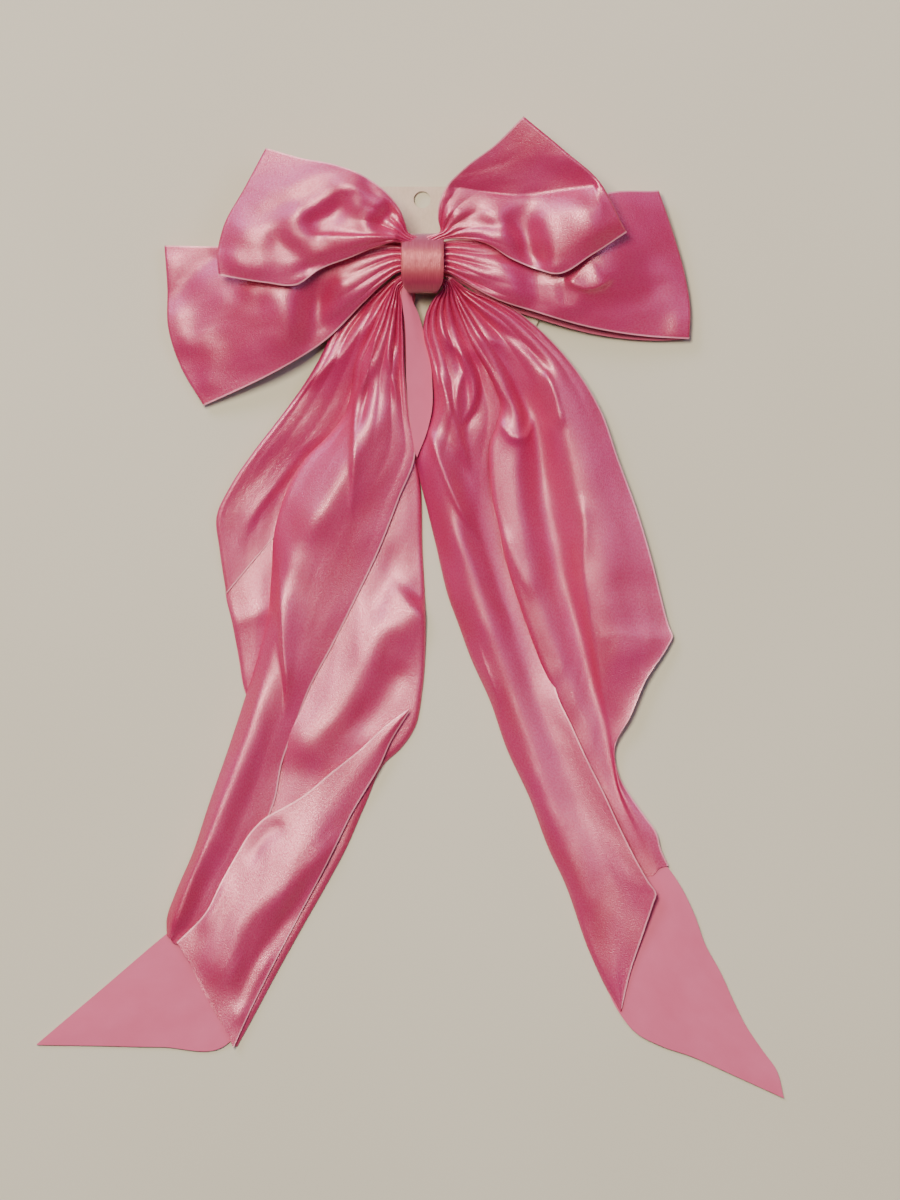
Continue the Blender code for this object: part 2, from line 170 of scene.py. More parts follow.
def round_edge(grid, side):
    """Turns a long edge under, as a folded edge is: side is 0 for the first column, -1 for the last."""
    edge = grid[:, side, :2][:, None, :]
    distance = np.linalg.norm(grid[..., :2] - edge, axis=2)
    inside = np.clip(1 - distance / FOLD_RADIUS, 0, 1)
    grid[..., 2] -= FOLD_DROP * (1 - np.sqrt(np.maximum(1 - inside**2, 0)))


# ---------------------------------------------------------------- cloth meshes

class Cloth:
    """Collects grids and turns them into one ribbon mesh with a satin and a matte side."""

    def __init__(self):
        self.points, self.faces, self.sides, self.uvs, self.edges = [], [], [], [], []
        self.count = 0

    def add_facing_up(self, grid, matte_up, cut):
        normal = surface_normal(grid)
        first_third = normal[: max(4, len(grid) // 3), :, 2]
        outward = 1.0 if first_third.mean() > 0 else -1.0
        self.add(grid, normal * outward, outward, matte_up, cut, CLOTH)

    def add(self, grid, normal, outward, matte_up, cut, thickness):
        """outward is -1 where the grid's own faces look the wrong way. cut says which borders
        are woven edges: first column, last column, first row, last row."""
        rows, columns = grid.shape[:2]
        top = (grid + normal * thickness / 2).reshape(-1, 3)
        bottom = (grid - normal * thickness / 2).reshape(-1, 3)
        index = np.arange(rows * columns).reshape(rows, columns) + self.count
        under = index + rows * columns
        quads = np.stack([index[:-1, :-1], index[1:, :-1], index[1:, 1:], index[:-1, 1:]], axis=-1)
        low = np.stack([under[:-1, :-1], under[:-1, 1:], under[1:, 1:], under[1:, :-1]], axis=-1)
        rims = []
        for a, b in ((index[:-1, 0], index[1:, 0]), (index[1:, -1], index[:-1, -1]),
                     (index[0, 1:], index[0, :-1]), (index[-1, :-1], index[-1, 1:])):
            shift = rows * columns
            rims.append(np.stack([b, a, a + shift, b + shift], axis=-1))
        parts = [quads.reshape(-1, 4), low.reshape(-1, 4), np.concatenate(rims)]
        if outward < 0:
            parts = [part[:, ::-1] for part in parts]
        satin, matte = (1, 0) if matte_up else (0, 1)
        self.points += [top, bottom]
        self.faces += parts
        self.sides += [np.full(len(parts[0]), satin), np.full(len(parts[1]), matte),
                       np.full(len(parts[2]), satin)]
        step_across = np.linalg.norm(np.diff(grid, axis=1), axis=2)
        step_along = np.linalg.norm(np.diff(grid, axis=0), axis=2)
        across = np.cumsum(np.pad(step_across, ((0, 0), (1, 0))), axis=1)
        along = np.cumsum(np.pad(step_along, ((1, 0), (0, 0))), axis=0)
        mean_along = along.mean(1, keepdims=True) + 0 * along
        uv = np.stack([across - across[:, -1:] / 2, mean_along], axis=-1).reshape(-1, 2) / WEAVE_UNIT
        self.uvs += [uv, uv]
        far = np.full(grid.shape[:2], NO_EDGE)
        borders = (across, across[:, -1:] - across, along, along[-1:] - along)
        for is_cut, distance in zip(cut, borders):
            if is_cut:
                far = np.minimum(far, distance)
        self.edges += [far.reshape(-1), far.reshape(-1)]
        self.count += 2 * rows * columns

    def mesh(self, name, satin, matte):
        points = np.concatenate(self.points) * MM + np.array(KNOT)
        faces = np.concatenate(self.faces)
        data = bpy.data.meshes.new(name)
        data.vertices.add(len(points))
        data.vertices.foreach_set("co", points.astype(np.float32).ravel())
        data.loops.add(faces.size)
        data.loops.foreach_set("vertex_index", faces.astype(np.int32).ravel())
        data.polygons.add(len(faces))
        data.polygons.foreach_set("loop_start", np.arange(0, faces.size, 4, dtype=np.int32))
        data.polygons.foreach_set("loop_total", np.full(len(faces), 4, np.int32))
        data.polygons.foreach_set("material_index", np.concatenate(self.sides).astype(np.int32))
        data.update(calc_edges=True)
        weave = data.uv_layers.new(name="weave")
        uv = np.concatenate(self.uvs)[faces.ravel()]
        weave.data.foreach_set("uv", uv.astype(np.float32).ravel())
        edge = data.attributes.new("from_edge", "FLOAT", "POINT")
        edge.data.foreach_set("value", np.concatenate(self.edges).astype(np.float32))
        data.materials.append(satin)
        data.materials.append(matte)
        data.validate()
        data.shade_smooth()
        data.set_sharp_from_angle(angle=SHARP_ANGLE)
        return add_object(name, data)


# ---------------------------------------------------------------- materials

def new_material(name):
    mat = bpy.data.materials.new(name)
    mat.use_nodes = True
    tree = mat.node_tree
    return mat, tree, tree.nodes["Principled BSDF"]


def set_inputs(made, **values):
    for key, value in values.items():
        made.inputs[key.replace("_", " ")].default_value = value


def node(tree, kind, inputs=None, **values):
    made = tree.nodes.new(kind)
    for key, value in values.items():
        setattr(made, key, value)
    set_inputs(made, **(inputs or {}))
    return made


def noise(tree, coords, stretch, scale, detail):
    """A noise pattern; a small stretch draws it out along that axis. Returns its factor."""
    mapping = node(tree, "ShaderNodeMapping", dict(Scale=stretch))
    texture = node(tree, "ShaderNodeTexNoise", dict(Scale=scale, Detail=detail))
    tree.links.new(coords, mapping.inputs["Vector"])
    tree.links.new(mapping.outputs["Vector"], texture.inputs["Vector"])
    return texture.outputs["Fac"]


def map_range(tree, value, **limits):
    made = node(tree, "ShaderNodeMapRange", limits)
    tree.links.new(value, made.inputs["Value"])
    return made.outputs["Result"]


def ramp(tree, factor, stops):
    """A colour ramp through (position, colour) stops, given in order."""
    made = node(tree, "ShaderNodeValToRGB")
    for k, (place, colour) in enumerate(stops):
        stop = made.color_ramp.elements.new(place) if k > 1 else made.color_ramp.elements[k]
        stop.position, stop.color = place, (*colour, 1.0)
    tree.links.new(factor, made.inputs["Fac"])
    return made.outputs["Color"]


def colour_between(tree, factor, first, second, low=0.3, high=0.7):
    return ramp(tree, factor, ((low, first), (high, second)))


def multiply(tree, factor, a, b):
    made = node(tree, "ShaderNodeMix", data_type="RGBA", blend_type="MULTIPLY")
    made.inputs["Factor"].default_value = factor
    tree.links.new(a, made.inputs["A"])
    tree.links.new(b, made.inputs["B"])
    return made.outputs["Result"]


def bump(tree, height, strength, distance, below=None):
    made = node(tree, "ShaderNodeBump", dict(Strength=strength, Distance=distance))
    tree.links.new(height, made.inputs["Height"])
    if below is not None:
        tree.links.new(below, made.inputs["Normal"])
    return made.outputs["Normal"]


def cloth_coords(tree):
    return node(tree, "ShaderNodeUVMap", uv_map="weave").outputs["UV"]


def object_coords(tree):
    return node(tree, "ShaderNodeTexCoord").outputs["Object"]


def painted_edge_highlight(tree):
    """1 on the woven edge of the ribbon, 0 away from it: the mask of the painted highlight along that
    edge.
    """
    attribute = node(tree, "ShaderNodeAttribute", attribute_name="from_edge")
    return map_range(tree, attribute.outputs["Fac"], From_Min=EDGE_HIGHLIGHT_WIDTH, From_Max=EDGE_HIGHLIGHT_WIDTH * 0.5)


def satin_material():
    mat, tree, shader = new_material("pink_satin_face")
    coords = cloth_coords(tree)
    grain = noise(tree, coords, (1.0, 0.8, 1.0), 300.0, 1.0)
    spark = noise(tree, coords, (1.0, 0.7, 1.0), 170.0, 2.0)
    drift = noise(tree, coords, (1.0, 0.5, 1.0), 7.0, 2.0)
    crumple = noise(tree, coords, (1.0, 0.6, 1.0), 6.0, 1.0)
    ripple = noise(tree, coords, (1.0, 0.3, 1.0), 17.0, 1.0)
    body = colour_between(tree, drift, (0.540, 0.013, 0.100), (0.600, 0.024, 0.160))
    fleck = colour_between(tree, grain, (0.74, 0.66, 0.72), (1.0, 1.0, 1.0), 0.35, 0.6)
    # painted highlight: a paler pink line along the woven edges, where light catches them
    edge_highlighted = node(tree, "ShaderNodeMix", data_type="RGBA")
    edge_highlighted.inputs["B"].default_value = (0.90, 0.34, 0.42, 1.0)
    tree.links.new(painted_edge_highlight(tree), edge_highlighted.inputs["Factor"])
    tree.links.new(multiply(tree, 0.5, body, fleck), edge_highlighted.inputs["A"])
    tree.links.new(edge_highlighted.outputs["Result"], shader.inputs["Base Color"])
    set_inputs(shader, Metallic=0.12, IOR=2.2, Specular_IOR_Level=0.95, Anisotropic=0.4)
    glint = map_range(tree, grain, From_Min=0.35, From_Max=0.65, To_Min=0.28, To_Max=0.50)
    tree.links.new(glint, shader.inputs["Roughness"])
    tint = colour_between(tree, spark, (0.66, 0.38, 0.40), (1.0, 0.66, 0.68), 0.38, 0.60)
    tree.links.new(tint, shader.inputs["Specular Tint"])
    weft = node(tree, "ShaderNodeTangent", direction_type="UV_MAP", uv_map="weave")
    tree.links.new(weft.outputs["Tangent"], shader.inputs["Tangent"])
    fine = bump(tree, grain, 0.75, 0.00012)
    folds = bump(tree, ripple, 0.30, 0.0007, fine)
    tree.links.new(bump(tree, crumple, 0.60, 0.0020, folds), shader.inputs["Normal"])
    return mat


def reverse_material():
    """The dull back of the satin."""
    mat, tree, shader = new_material("pink_satin_reverse")
    coords = cloth_coords(tree)
    grain = noise(tree, coords, (1.0, 1.0, 1.0), 420.0, 2.0)
    drift = noise(tree, coords, (1.0, 0.6, 1.0), 9.0, 3.0)
    body = colour_between(tree, drift, (0.690, 0.140, 0.235), (0.740, 0.165, 0.275))
    fleck = colour_between(tree, grain, (0.92, 0.90, 0.91), (1.0, 1.0, 1.0), 0.35, 0.6)
    tree.links.new(multiply(tree, 0.5, body, fleck), shader.inputs["Base Color"])
    set_inputs(shader, Roughness=0.72, Specular_IOR_Level=0.25, Sheen_Weight=0.2,
               Sheen_Tint=(1.0, 0.8, 0.88, 1.0))
    tree.links.new(bump(tree, grain, 0.25, 0.0001), shader.inputs["Normal"])
    return mat


SATIN = satin_material()
REVERSE = reverse_material()


# ---------------------------------------------------------------- loops

SOFT_HEIGHT = 0.95                     # how far the loops' ridges are eased down
SPREAD, SPREAD_MORE = 1.35, 0.3        # how far their round sides are widened
FOLD_HALF = 0.7                        # half the height of a loop's turn at its outer fold
FOLD_START = 0.72                      # share of a lobe's length where its layers start to meet
FOLD_TURN = np.radians([60, 30, 0, -30, -60])
UPPER_GRID, UPPER_PLEATS = (110, 84), (6.0, 0.9, 13.0)
LOWER_GRID, LOWER_PLEATS = (120, 84), (6.0, 0.9, 17.0)
BOTH_SIDES_CUT = (True, True, False, False)


def soft_width(width):
    """A round side of a ridge spreads out; a crease stays sharp."""
    return width if width < 0 else SPREAD * width + SPREAD_MORE


def lobe(front, rear_z, size, strokes, pleats, rear_shift=(0.0, 0.0)):
    """One side of a bow loop: the front layer runs out from the knot, turns tightly
    at the outer fold and comes back as the rear layer. rear_z is its height at the
    knot, half way and at the fold; rear_shift moves the rear's last rail in plan."""
    rows, columns = size
    grid = loft(front, rows, columns)
    gather(grid, *pleats)
    press(grid, [(SOFT_HEIGHT * height, soft_width(left), soft_width(right), *rest)
                 for height, left, right, *rest in strokes], LOOP_BLUR)
    run = np.linspace(0.0, 1.0, rows)[:, None]
    weights = np.stack([(1 - run) * (1 - 2 * run), 4 * run * (1 - run), run * (2 * run - 1)])
    rear = grid.copy()
    level = weights[0] * rear_z[0] + weights[1] * rear_z[1] + weights[2] * rear_z[2]
    near_fold = np.clip((run - FOLD_START) / (1 - FOLD_START), 0, 1) ** 2
    rear[..., 2] = level + near_fold * (grid[-1:, :, 2] - 2 * FOLD_HALF - level)
    rear[..., 2] = np.minimum(rear[..., 2], grid[..., 2] - 2 * FOLD_HALF)
    share = np.linspace(0.0, 1.0, columns)[None, :] ** 3
    bow = np.abs(np.sin(np.pi * run)) ** 0.7
    rear[..., :2] += np.asarray(rear_shift) * (share * bow)[..., None]
    outward = grid[-1] - grid[-4]
    outward[:, 2] = 0
    outward = unit(outward)
    turn = []
    top, low = grid[-1], rear[-1]
    middle, half = (top + low) / 2, (top[:, 2] - low[:, 2]) / 2
    for angle in FOLD_TURN:
        ring = middle + outward * (half * np.cos(angle))[:, None]
        ring[:, 2] += half * np.sin(angle)
        turn.append(ring)
    return np.concatenate([grid, np.array(turn), rear[::-1][1:]])


def ribbon_loop(left, right):
    """Joins the two lobes into one strip through the knot."""
    waist = (left[0] + right[0]) / 2
    return np.concatenate([left[::-1][:-1], waist[None], right[1:]])


UPPER_LEFT = [
    [(0, 9, 22), (-4.6, 10.3, 22.8), (-6, 14, 24.5), (-8, 19, 26), (-12, 24, 27), (-20, 30, 27.5),
     (-30, 34, 26.5), (-42, 36.5, 24.5), (-54, 40, 21.5)],
    [(0, 7.8, 23), (-7, 9.6, 24.5), (-12, 14, 26.5), (-19, 19, 28), (-30, 24.5, 28.5), (-41, 27, 28),
     (-51, 27, 25.2), (-61.5, 26, 21.8)],
    [(0, 6.5, 23.3), (-8, 8.8, 25), (-16, 11, 26.5), (-27, 13.5, 27.5), (-39, 14, 28.5), (-50, 14, 27),
     (-60, 13, 25.8), (-69, 12, 22)],
    [(0, 5.2, 23), (-8, 8, 24.5), (-18, 7, 26), (-30, 5, 27), (-40, 3.5, 26.5), (-50, 3.5, 26.2),
     (-61, 3, 25), (-71, 2, 21.5)],
    [(0, 4, 22.3), (-8, 7.3, 23.5), (-16, 5.5, 24), (-25, 1.8, 24.5), (-36, -2.5, 24), (-44, -7.8, 22.8),
     (-55, -7, 22.2), (-70.5, -4.5, 21)]
]
UPPER_LEFT_STROKES = [
    (2.4, 2.0, 4.5, [(-20, 26), (-24, 26.5), (-28, 25.5), (-33, 22.5), (-38, 19), (-43, 16.5),
     (-46, 14.3), (-44, 10), (-40, 5.5), (-37, 2), (-35.5, -2)], (0.05, 0.1)),
    (-3.6, 4.5, 4.5, [(-41, 13), (-32, 17), (-25, 21.5)]),
    (1.6, 1.5, 1.5, [(-20.3, 26), (-21.5, 22), (-24, 19), (-25.7, 16), (-26, 10)], (0.02, 0.2)),
    (2.2, -0.8, 4.0, [(-41, 9.5), (-30, 9.3), (-20, 9), (-8, 9)], (0.3, 0.05)),
    (1.9, 2.2, 1.0, [(-7, 9.5), (-12, 9.3), (-17, 10), (-19.5, 12), (-18, 15), (-15.3, 18.5),
     (-13.5, 21.5), (-10, 21.5)], (0.05, 0.2)),
    (-3.0, 2.4, 2.4, [(-16.5, 12), (-13, 15), (-9.5, 18.5)]),
    (1.0, 0.8, 0.8, [(-12, 10), (-11, 13), (-8.5, 15.5), (-6.3, 16.5)]),
    (-1.6, 3.5, 3.5, [(-66, 14), (-52, 18), (-43, 22), (-35, 26), (-28, 29.5)], (0.2, 0.3)),
    (1.3, 2.6, 2.6, [(-67.5, 8), (-66.5, 2), (-62, -2), (-55, -1), (-50, 0)], (0.3, 0.3)),
    (-2.6, 3.0, 3.0, [(-55, 12), (-50, 8), (-45, 4), (-41, 0), (-39, -4)], (0.3, 0.1)),
    (1.2, 1.2, 1.2, [(-49, 0), (-45, -1), (-41, -5)], (0.3, 0.1))
]
UPPER_RIGHT = [
    [(0, 9, 22), (6.5, 11, 22.5), (5.8, 15, 24), (5.8, 19, 25.5), (8, 25.5, 27), (15, 33, 28.8),
     (25, 40.5, 30), (35, 50.3, 31)],
    [(0, 7.8, 23), (8, 11.5, 24), (11, 17, 25.2), (16, 24, 25.6), (26, 31, 26.6), (36, 37, 27.8),
     (50, 38, 28.5)],
    [(0, 7, 23.3), (8.3, 10.8, 24.3), (14, 14, 25), (22, 19.5, 24.4), (32, 23.6, 23.4), (46, 25.2, 23.6),
     (62, 27.3, 25.2)],
    [(0, 6, 23.3), (8.5, 10, 24.3), (17, 12, 25.5), (28, 14.5, 25.6), (37, 15, 23.2), (46, 16, 25.6),
     (58, 18, 27.6), (66.6, 19, 25)],
    [(0, 5, 23), (8.5, 9.2, 24), (17, 9, 25), (28, 7.5, 25.8), (38, 6, 22.6), (48, 7, 25.2),
     (60, 10.5, 26.8), (69, 14, 24)],
    [(0, 4, 22.3), (8.5, 8.3, 23.3), (15, 8.4, 23.8), (22, 7, 24), (32, 1, 23.8), (40, -2.2, 22.4),
     (47, -4, 22.6), (60, 3, 22.8), (71.2, 10.3, 21.8)]
]
UPPER_RIGHT_STROKES = [
    (-1.3, -3.0, -3.0, [(9, 26.5), (15, 26), (25, 24.5), (32, 23.8), (40, 24.3), (50, 25.5), (61.5, 27.3)],
     (0.05, 0.02)),
    (1.3, 1.5, 3.0, [(20.5, 15.5), (24, 19), (30, 22), (38, 23)]),
    (-2.6, 3.8, 3.8, [(30, 18), (35, 10), (38, 3), (44, -1)]),
    (1.6, 3.0, 3.0, [(41, 20), (42, 14), (44, 8), (46, 0), (46.5, -4)], (0.3, 0.1)),
    (1.3, 0.9, 0.9, [(8, 12), (9, 16), (12, 17.5), (13.5, 16), (10, 14.5)]),
    (1.5, 1.0, 1.3, [(27, 7), (29, 11.5), (31, 10), (33.5, 8), (32, 6.5), (29, 6.2)]),
    (-1.8, 1.2, 1.2, [(9, 9.5), (14, 9.2), (20, 9), (25, 10)], (0.1, 0.4)),
    (-1.6, 1.5, 1.5, [(11, 13), (16, 14), (24, 13), (28, 13)]),
    (1.2, 1.5, 1.5, [(61.5, 27), (62, 22), (63, 17)])
]
LOWER_LEFT = [
    [(0, 4, 18), (-8, 7.5, 18), (-20, 8, 16.5), (-35, 8, 14), (-50, 7.5, 12), (-71, 6.3, 9),
     (-90, 6.7, 5.5)],
    [(0, 2, 18.6), (-8, 4.5, 18.8), (-20, 3, 18.6), (-34, 0, 16.5), (-46, -3, 16.6), (-58, -5, 14.5),
     (-74, -6.5, 9.6), (-89, -8, 5)],
    [(0, 0, 18.6), (-8, 1.5, 19), (-19, -3.5, 18.8), (-28, -8, 17.6), (-36, -11, 14), (-46, -14, 17.2),
     (-58, -17, 14.6), (-74, -20, 8.8), (-88.7, -22, 4.6)],
    [(0, -2, 18.2), (-8, -1, 18.5), (-17, -7, 18), (-27, -14, 15.8), (-35, -19, 12.6), (-46, -24.5, 15),
     (-58, -29, 12), (-72, -33, 7.4), (-84.7, -35, 4)],
    [(0, -4, 17.2), (-8, -3, 17.5), (-13, -6.5, 17), (-20, -13, 14.5), (-33, -26, 10.5), (-50, -37, 9.5),
     (-62, -43, 7), (-76.3, -49.4, 3.4)]
]
LOWER_LEFT_STROKES = [
    (1.8, 2.4, 2.0, [(-88, -12), (-87, -18), (-86, -24), (-83.5, -27.5), (-80.5, -28.5), (-77, -26.5),
     (-73, -21), (-69, -15), (-65, -9)], (0.15, 0.1)),
    (-2.2, 2.2, 2.2, [(-77, -30), (-73, -25), (-69, -18), (-64, -9)], (0.3, 0.05)),
    (1.4, 2.0, 2.0, [(-62, -7), (-64, -12), (-68, -19), (-72, -27), (-74, -34), (-75, -42), (-73, -47)],
     (0.05, 0.2)),
    (1.2, 1.5, 3.0, [(-62, -9), (-56, -9.5), (-50, -11), (-47, -16), (-46, -24), (-46, -32)], (0.1, 0.5)),
    (-0.8, 2.5, 2.5, [(-59, -11.5), (-57, -12.5), (-55, -13)]),
    (-2.8, 5.0, 4.0, [(-38, -4), (-37, -14), (-38, -22), (-42, -31)], (0.4, 0.1)),
    (1.3, 1.2, 1.2, [(-26, -5), (-30, -9), (-32.5, -14), (-32.5, -20)]),
    (1.2, 1.0, 1.0, [(-25, -6), (-27.5, -11), (-28.5, -17)]),
    (-1.5, 3.0, 1.0, [(-89, -13), (-82, -6), (-74, 1), (-70, 4)], (0.1, 0.1)),
    (1.4, 1.2, 1.2, [(-88.3, 4), (-88, -4), (-88, -12)], (0.1, 0.2))
]
LOWER_RIGHT = [
    [(0, 4, 18), (8, 7.5, 18), (20, 8.5, 17.5), (35, 11, 16), (50, 16, 15), (64, 24.5, 12.5),
     (82.6, 26, 6.5)],
    [(0, 2, 18.6), (8, 5, 18.8), (20, 5, 18.6), (35, 5, 16.8), (50, 8, 16), (64, 11, 15.5),
     (76, 11.5, 11), (87.7, 11, 5.6)],
    [(0, 0, 18.6), (8, 2, 19), (20, 0.5, 19), (30, -1, 18.2), (40, -1.5, 16.2), (50, -2, 16.2),
     (62, -2, 17), (76, -2.2, 11.5), (91.7, -3, 5)],
    [(0, -2, 18.3), (8, -0.5, 18.7), (20, -4.5, 18.7), (31, -8.5, 17.6), (41, -10.5, 14.5),
     (52, -12, 15.2), (66, -13.5, 12.2), (80, -14.5, 8), (93.7, -15, 4.4)],
    [(0, -4, 17.2), (8, -3, 17.5), (14, -6, 17.5), (25, -12, 15.8), (40, -17, 13), (60, -22.5, 10),
     (80, -25.5, 6.6), (93.4, -26.2, 4)]
]
LOWER_RIGHT_STROKES = [
    (1.6, 1.6, 2.6, [(46, -4.5), (46, -8), (47, -13), (49, -17), (51, -19.5)], (0.1, 0.3)),
    (1.4, 1.6, 1.6, [(49, -5), (53, -9.5), (54.5, -14), (53.5, -19)], (0.1, 0.3)),
    (-1.6, 1.2, 1.2, [(49, -6), (50.5, -10), (51, -15)]),
    (2.2, 4.0, -1.0, [(50, -5), (54, -8), (58, -9.2), (63, -8), (68, -5)], (0.15, 0.3)),
    (1.5, 2.0, 2.0, [(22, 2), (27, -1), (31, -5), (33, -10), (36, -15)], (0.3, 0.1)),
    (1.1, 1.0, 1.0, [(9, -1), (13, -3), (20, -4), (28, -5.5)], (0.05, 0.3)),
    (-1.2, 1.2, 1.2, [(12, -4.5), (20, -6.5), (27, -8)], (0.1, 0.3)),
    (1.0, 1.0, 1.0, [(12, -6), (19, -9.5), (27, -12), (33, -13)], (0.1, 0.3)),
    (1.4, 1.6, 1.6, [(90, -14), (90.3, -20), (90, -26)], (0.4, 0.05)),
    (-1.5, 4.0, 4.0, [(74, 4), (80, -4), (84, -14)], (0.3, 0.3))
]


def build_loops():
    upper = ribbon_loop(
        lobe(UPPER_LEFT, (20.6, 20.4, 21.0), UPPER_GRID, UPPER_LEFT_STROKES, UPPER_PLEATS),
        lobe(UPPER_RIGHT, (20.6, 20.4, 20.8), UPPER_GRID, UPPER_RIGHT_STROKES, UPPER_PLEATS))
    lower = ribbon_loop(
        lobe(LOWER_LEFT, (15.2, 5.0, 2.6), LOWER_GRID, LOWER_LEFT_STROKES, LOWER_PLEATS),
        lobe(LOWER_RIGHT, (15.2, 5.0, 2.8), LOWER_GRID, LOWER_RIGHT_STROKES, LOWER_PLEATS,
             rear_shift=(1.0, -2.2)))
    for name, grid, flat in (("upper_loop_ribbon", upper, (0.048, 0.275)),
                             ("lower_loop_ribbon", lower, (0.054, 0.342))):
        cloth = Cloth()
        cloth.add(grid, -surface_normal(grid), -1.0, False, BOTH_SIDES_CUT, CLOTH)
        piece = cloth.mesh(name + "_satin", SATIN, REVERSE)
        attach(piece, "bow")
        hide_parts(name)


# ---------------------------------------------------------------- tails

LEFT_OUTER = dict(
    grid=(120, 50), cut=(False, False, False, True), pleats=(5.0, 1.0, 30.0), matte=False,
    rails=[
        [(-3, -2, 11), (-8, -4, 11.5), (-14, -8, 10.5), (-22, -14, 8.5), (-30, -22, 7), (-37, -35, 6.2),
         (-41, -41.5, 6), (-50, -54, 6.4), (-60, -67, 6.4), (-68, -79, 5.6), (-72.4, -89, 4.6),
         (-71.4, -100, 3.2), (-69, -116, 2.0)],
        [(-3, -3, 12), (-8.3, -5, 12.5), (-14, -10.5, 11.5), (-20, -19, 9.8), (-27, -30, 8),
         (-33, -42, 5.6), (-40, -56, 4.2), (-50, -72, 3.6), (-58, -88, 3), (-60, -105, 2.2)],
        [(-3, -4, 12), (-8, -7, 12), (-12, -14, 11), (-16, -24, 8.5), (-20, -38, 5), (-25, -52, 2.4),
         (-33, -63, 1.2), (-44, -78, 1.0), (-51, -94.5, 1.6)]],
    strokes=[
        (2.2, 2.5, 3.5, [(-13, -14), (-16, -19), (-22, -24), (-30, -32), (-38, -40), (-45, -47)],
         (0.1, 0.3)),
        (-1.8, 2.0, 2.0, [(-16, -13), (-21, -18), (-27, -27), (-33, -35)], (0.2, 0.3)),
        (-0.8, 5.0, 5.0, [(-36, -62), (-44, -70), (-54, -84)], (0.3, 0.3)),
        (0.8, 1.2, 2.0, [(-42, -66), (-50, -76), (-58, -86), (-64, -98)], (0.3, 0.3))])
LEFT_LOWER_REAR = dict(
    grid=(60, 20), cut=(False, False, False, False), pleats=None, matte=False,
    rails=[
        [(-66, -98, 0.9), (-69.3, -116, 0.9), (-67, -126, 0.9), (-65, -137, 0.9), (-63, -149, 0.8),
         (-60, -158, 0.8)],
        [(-57, -92, 1.0), (-59, -110, 1.6), (-59, -124, 2.2), (-60, -138, 1.6), (-60.5, -150, 1),
         (-58.5, -158, 0.8)],
        [(-46, -88, 0.8), (-49, -105, 0.9), (-51, -122, 0.9), (-54, -137, 0.9), (-56, -150, 0.8),
         (-56.5, -158, 0.8)]],
    strokes=[
        (1.0, 1.6, 3.0, [(-68, -125.5), (-61, -123.5), (-54, -120.5)], (0.05, 0.05))])
LEFT_FRONT = dict(
    grid=(250, 64), cut=(False, True, False, False), pleats=(6.0, 1.1, 34.0), matte=False,
    rails=[
        [(-4, -4, 13.5), (-8.6, -5.5, 14), (-12, -11, 13), (-16, -20, 11.5), (-19.5, -27, 10),
         (-23, -34, 8.5), (-24.5, -43, 6), (-27, -52, 3.4), (-33, -60, 2.2), (-41, -68, 2.0),
         (-48, -80, 2.0), (-52, -93, 2.2), (-53, -108, 2.2), (-54.5, -123, 2), (-58, -138, 1.8),
         (-61.5, -150, 1.5), (-68, -170, 1.5), (-75, -190, 1.5), (-81, -208, 1.5), (-87, -222, 1.8),
         (-90, -231, 2), (-90, -236.5, 2)],
        [(-4, -5, 14.5), (-8.5, -6.5, 14.8), (-11, -13, 14), (-14, -24, 12.5), (-17, -36, 11),
         (-18, -48, 10), (-22, -62, 9.6), (-30, -80, 9), (-38, -92, 8.4), (-45, -103, 7.6),
         (-49, -118, 6.4), (-51.5, -133, 6), (-55, -150, 6.6), (-60, -168, 6.8), (-67, -185, 6.4),
         (-74, -200, 5.8), (-80, -213, 5.2), (-86, -227, 4.2), (-88.8, -237.5, 3.0)],
        [(-4, -6, 13), (-8, -8, 13), (-9, -14, 12.4), (-10, -26, 11), (-11, -40, 9.6), (-13, -55, 8.4),
         (-18, -72, 8.4), (-26, -90, 7.6), (-35, -110, 6.4), (-42, -130, 5.6), (-46, -150, 5.0),
         (-53, -168, 4.6), (-59, -185, 3.8), (-66, -203, 3.4), (-74, -218, 3.0), (-82, -232, 2.6),
         (-88, -239, 2.2)],
        [(-4, -7, 13), (-7, -9, 12.5), (-7, -15, 11.5), (-6.5, -27, 10), (-6, -40, 8.6),
         (-4.5, -53, 7.4), (-2.5, -67, 6), (-8, -82, 5.0), (-15, -100, 4.2), (-24, -119, 3.6),
         (-32, -135, 3.3), (-40, -150, 3.1), (-44.5, -162, 2.9), (-49.5, -176, 2.7), (-52, -189, 2.4),
         (-56, -199, 1.9), (-61, -208, 1.7), (-68, -219, 1.7), (-76, -231, 1.8), (-85.5, -240, 1.8)]],
    strokes=[
        (1.6, 2.4, -0.6, [(-12, -14), (-16, -25), (-20, -40), (-23, -46), (-24, -56), (-24.5, -75),
         (-26, -93)], (0.2, 0.3)),
        (-1.8, 1.6, 1.6, [(-14, -34), (-18, -42), (-21, -52), (-22.5, -60)], (0.3, 0.3)),
        (-1.6, 1.6, 1.6, [(-9, -13), (-9.5, -20), (-8.5, -35), (-8, -50)], (0.1, 0.3)),
        (1.6, 1.8, -1.3, [(-9.5, -12), (-11, -22), (-12, -33), (-9.5, -45), (-9, -52)], (0.1, 0.3)),
        (2.2, 7.0, 8.0, [(-9, -46), (-16, -57), (-22, -66), (-30, -79), (-38, -90), (-47, -100)],
         (0.2, 0.25)),
        (2.0, 5.0, -0.8, [(-50.5, -102), (-50.2, -118), (-49.3, -135), (-48, -150), (-48.5, -160)],
         (0.35, 0.3)),
        (1.3, 2.5, 5.0, [(-54, -140), (-59, -156), (-66, -176), (-74, -197), (-84, -224), (-88, -236)],
         (0.2, 0.05))])
